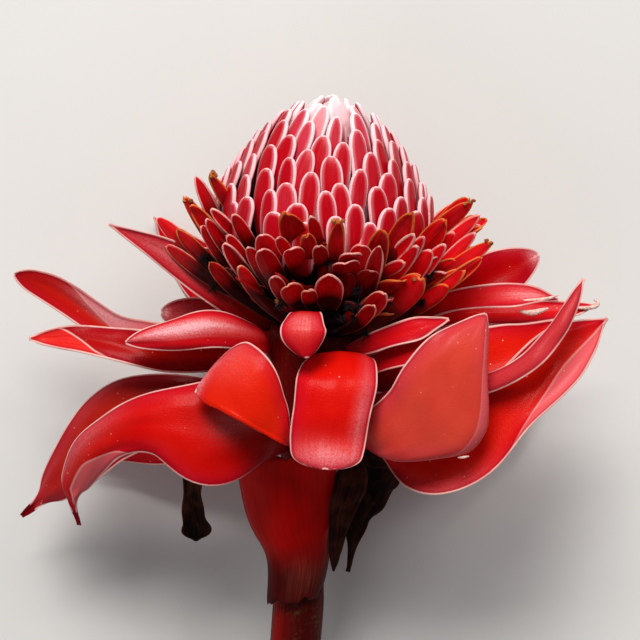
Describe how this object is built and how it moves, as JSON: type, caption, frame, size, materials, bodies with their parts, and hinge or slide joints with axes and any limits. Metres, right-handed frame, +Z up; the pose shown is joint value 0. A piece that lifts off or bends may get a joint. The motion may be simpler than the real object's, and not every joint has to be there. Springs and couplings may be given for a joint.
{
  "type": "cut flower",
  "caption": "Torch ginger flower with waxy red bracts and a pale-rimmed domed head, cut with a length of stem and laid down.",
  "frame": {"origin": "centre of the bounding box in plan, on the surface the flower lies on", "axes": "+Y from the cut end of the stem towards the flower head, +Z up from the surface, +X to the right seen from the cut end"},
  "size_m": [0.1991, 0.2867, 0.1257],
  "materials": {
    "stem": "smooth dark maroon stalk with brown-green speckles",
    "bract_red": "waxy, soft highlights, pale rim",
    "floral_pink": "waxy tongues with a pale pink rim",
    "floral_dark": "waxy, deep red, thin pale rim",
    "sheath_red": "satin, faint lengthwise streaks",
    "withered_brown": "dry, wrinkled, nearly black"
  },
  "bodies": {
    "root": {"bract_back_centre": "bract_red", "bract_back_hanging": "bract_red", "bract_back_left_inner": "bract_red", "bract_back_left_low": "bract_red", "bract_back_right_inner": "bract_red", "bract_back_right_low": "bract_red", "bract_front_centre": "bract_red", "bract_front_left_long": "bract_red", "bract_front_left_reflexed": "bract_red", "bract_front_right_erect": "bract_red", "bract_front_small": "bract_red", "bract_left_ascending": "bract_red", "bract_left_back_small": "bract_red", "bract_left_low": "bract_red", "bract_left_narrow": "bract_red", "bract_left_rolled": "bract_red", "bract_left_twisted": "bract_red", "bract_resting_left": "bract_red", "bract_resting_right": "bract_red", "bract_right_back_broad": "bract_red", "bract_right_boat": "bract_red", "bract_right_hooked": "bract_red", "bract_right_inner": "bract_red", "bract_right_long": "bract_red", "bract_right_small_lower": "bract_red", "bract_right_small_upper": "bract_red", "bract_right_upright": "bract_red", "closed_floral_bracts": "floral_pink", "spent_floral_bracts": "floral_dark", "stem": "stem", "stem_sheath": "sheath_red", "withered_bract_left": "withered_brown", "withered_bract_right": "withered_brown", "withered_sheath": "withered_brown"}
  },
  "joints": []
}
